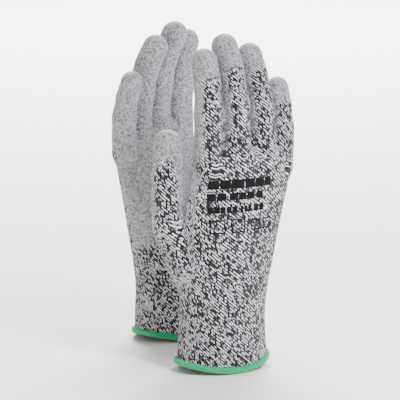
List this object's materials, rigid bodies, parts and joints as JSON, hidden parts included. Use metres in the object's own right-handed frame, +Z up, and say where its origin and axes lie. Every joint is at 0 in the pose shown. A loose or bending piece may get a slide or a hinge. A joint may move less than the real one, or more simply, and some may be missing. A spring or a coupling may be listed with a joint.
{
  "type": "cut resistant glove pair",
  "caption": "Pair of knitted cut resistant gloves with dipped palm and fingertips, ribbed cuff and overlocked hem, standing upright with fingers that bend.",
  "frame": {"origin": "centre of the footprint of both gloves, on the plane that their hems stand on", "axes": "+Z up along the fingers; the front glove shows its back towards -Y, and the rear glove stands behind it towards +Y with its palm turned to the front glove"},
  "size_m": [0.1504, 0.1906, 0.2702],
  "materials": {
    "knit": "salt-and-pepper knitted yarn",
    "coating": "matt fine-grained dipped coating",
    "hem": "overlock stitching",
    "elastic": "covered elastic thread",
    "print": "matt transfer print"
  },
  "bodies": {
    "front_hand": {"front_palm_liner": "knit", "front_cuff_knit": "knit", "front_elastic_threads": "elastic", "front_overlock_hem": "hem", "front_palm_coating": "coating", "front_back_print": "print"},
    "front_index_base": {"front_index_base_liner": "knit", "front_index_base_coating": "coating"},
    "front_index_tip": {"front_index_tip_liner": "knit", "front_index_tip_coating": "coating"},
    "front_middle_base": {"front_middle_base_liner": "knit", "front_middle_base_coating": "coating"},
    "front_middle_tip": {"front_middle_tip_liner": "knit", "front_middle_tip_coating": "coating"},
    "front_ring_base": {"front_ring_base_liner": "knit", "front_ring_base_coating": "coating"},
    "front_ring_tip": {"front_ring_tip_liner": "knit", "front_ring_tip_coating": "coating"},
    "front_pinky_base": {"front_pinky_base_liner": "knit", "front_pinky_base_coating": "coating"},
    "front_pinky_tip": {"front_pinky_tip_liner": "knit", "front_pinky_tip_coating": "coating"},
    "front_thumb_base": {"front_thumb_base_liner": "knit", "front_thumb_base_coating": "coating"},
    "front_thumb_tip": {"front_thumb_tip_liner": "knit", "front_thumb_tip_coating": "coating"},
    "rear_hand": {"rear_palm_liner": "knit", "rear_cuff_knit": "knit", "rear_elastic_threads": "elastic", "rear_overlock_hem": "hem", "rear_palm_coating": "coating", "rear_back_print": "print"},
    "rear_index_base": {"rear_index_base_liner": "knit", "rear_index_base_coating": "coating"},
    "rear_index_tip": {"rear_index_tip_liner": "knit", "rear_index_tip_coating": "coating"},
    "rear_middle_base": {"rear_middle_base_liner": "knit", "rear_middle_base_coating": "coating"},
    "rear_middle_tip": {"rear_middle_tip_liner": "knit", "rear_middle_tip_coating": "coating"},
    "rear_ring_base": {"rear_ring_base_liner": "knit", "rear_ring_base_coating": "coating"},
    "rear_ring_tip": {"rear_ring_tip_liner": "knit", "rear_ring_tip_coating": "coating"},
    "rear_pinky_base": {"rear_pinky_base_liner": "knit", "rear_pinky_base_coating": "coating"},
    "rear_pinky_tip": {"rear_pinky_tip_liner": "knit", "rear_pinky_tip_coating": "coating"},
    "rear_thumb_base": {"rear_thumb_base_liner": "knit", "rear_thumb_base_coating": "coating"},
    "rear_thumb_tip": {"rear_thumb_tip_liner": "knit", "rear_thumb_tip_coating": "coating"}
  },
  "joints": [
    {"name": "front_index_knuckle", "type": "hinge", "parent": "front_hand", "child": "front_index_base", "pos_m": [0.00437, -0.08237, 0.168], "axis": [-0.8464, -0.5289, 0.0628], "range_deg": [-15, 70]},
    {"name": "front_index_middle_knuckle", "type": "hinge", "parent": "front_index_base", "child": "front_index_tip", "pos_m": [0.00542, -0.07919, 0.20886], "axis": [-0.8464, -0.5289, 0.0628], "range_deg": [-10, 80]},
    {"name": "front_middle_knuckle", "type": "hinge", "parent": "front_hand", "child": "front_middle_base", "pos_m": [0.02754, -0.07321, 0.17], "axis": [-0.8464, -0.5289, 0.0628], "range_deg": [-15, 70]},
    {"name": "front_middle_middle_knuckle", "type": "hinge", "parent": "front_middle_base", "child": "front_middle_tip", "pos_m": [0.02659, -0.06641, 0.21447], "axis": [-0.8464, -0.5289, 0.0628], "range_deg": [-10, 80]},
    {"name": "front_ring_knuckle", "type": "hinge", "parent": "front_hand", "child": "front_ring_base", "pos_m": [0.04752, -0.05895, 0.168], "axis": [-0.8462, -0.5288, 0.0663], "range_deg": [-15, 70]},
    {"name": "front_ring_middle_knuckle", "type": "hinge", "parent": "front_ring_base", "child": "front_ring_tip", "pos_m": [0.04637, -0.05192, 0.20939], "axis": [-0.8462, -0.5288, 0.0663], "range_deg": [-10, 80]},
    {"name": "front_pinky_knuckle", "type": "hinge", "parent": "front_hand", "child": "front_pinky_base", "pos_m": [0.06332, -0.04141, 0.163], "axis": [-0.8424, -0.5264, 0.1149], "range_deg": [-15, 70]},
    {"name": "front_pinky_middle_knuckle", "type": "hinge", "parent": "front_pinky_base", "child": "front_pinky_tip", "pos_m": [0.06429, -0.03649, 0.19258], "axis": [-0.8424, -0.5264, 0.1149], "range_deg": [-10, 80]},
    {"name": "front_thumb_knuckle", "type": "hinge", "parent": "front_hand", "child": "front_thumb_base", "pos_m": [-0.02706, -0.07642, 0.122], "axis": [0.9945, -0.1045, 0], "range_deg": [-50, 15]},
    {"name": "front_thumb_last_knuckle", "type": "hinge", "parent": "front_thumb_base", "child": "front_thumb_tip", "pos_m": [-0.02726, -0.07835, 0.15895], "axis": [0.9945, -0.1045, 0], "range_deg": [-70, 10]},
    {"name": "rear_index_knuckle", "type": "hinge", "parent": "rear_hand", "child": "rear_index_base", "pos_m": [-0.01868, 0.07875, 0.168], "axis": [0.6678, 0.7417, 0.0628], "range_deg": [-15, 70]},
    {"name": "rear_index_middle_knuckle", "type": "hinge", "parent": "rear_index_base", "child": "rear_index_tip", "pos_m": [-0.0188, 0.07541, 0.20886], "axis": [0.6678, 0.7417, 0.0628], "range_deg": [-10, 80]},
    {"name": "rear_middle_knuckle", "type": "hinge", "parent": "rear_hand", "child": "rear_middle_base", "pos_m": [-0.03841, 0.06356, 0.17], "axis": [0.6678, 0.7417, 0.0628], "range_deg": [-15, 70]},
    {"name": "rear_middle_middle_knuckle", "type": "hinge", "parent": "rear_middle_base", "child": "rear_middle_tip", "pos_m": [-0.03563, 0.05729, 0.21447], "axis": [0.6678, 0.7417, 0.0628], "range_deg": [-10, 80]},
    {"name": "rear_ring_knuckle", "type": "hinge", "parent": "rear_hand", "child": "rear_ring_base", "pos_m": [-0.05369, 0.04435, 0.168], "axis": [0.6677, 0.7415, 0.0663], "range_deg": [-15, 70]},
    {"name": "rear_ring_middle_knuckle", "type": "hinge", "parent": "rear_ring_base", "child": "rear_ring_tip", "pos_m": [-0.05065, 0.03791, 0.20939], "axis": [0.6677, 0.7415, 0.0663], "range_deg": [-10, 80]},
    {"name": "rear_pinky_knuckle", "type": "hinge", "parent": "rear_hand", "child": "rear_pinky_base", "pos_m": [-0.06405, 0.02313, 0.163], "axis": [0.6647, 0.7382, 0.1149], "range_deg": [-15, 70]},
    {"name": "rear_pinky_middle_knuckle", "type": "hinge", "parent": "rear_pinky_base", "child": "rear_pinky_tip", "pos_m": [-0.06363, 0.01814, 0.19258], "axis": [0.6647, 0.7382, 0.1149], "range_deg": [-10, 80]},
    {"name": "rear_thumb_knuckle", "type": "hinge", "parent": "rear_hand", "child": "rear_thumb_base", "pos_m": [0.01317, 0.0817, 0.122], "axis": [-0.9848, -0.1736, 0], "range_deg": [-50, 15]},
    {"name": "rear_thumb_last_knuckle", "type": "hinge", "parent": "rear_thumb_base", "child": "rear_thumb_tip", "pos_m": [0.01284, 0.0836, 0.15895], "axis": [-0.9848, -0.1736, 0], "range_deg": [-70, 10]},
    {"name": "rear_glove_set_down", "type": "slide", "parent": "front_hand", "child": "rear_hand", "axis": [0, 1, 0], "range_m": [0, 0.2]}
  ]
}
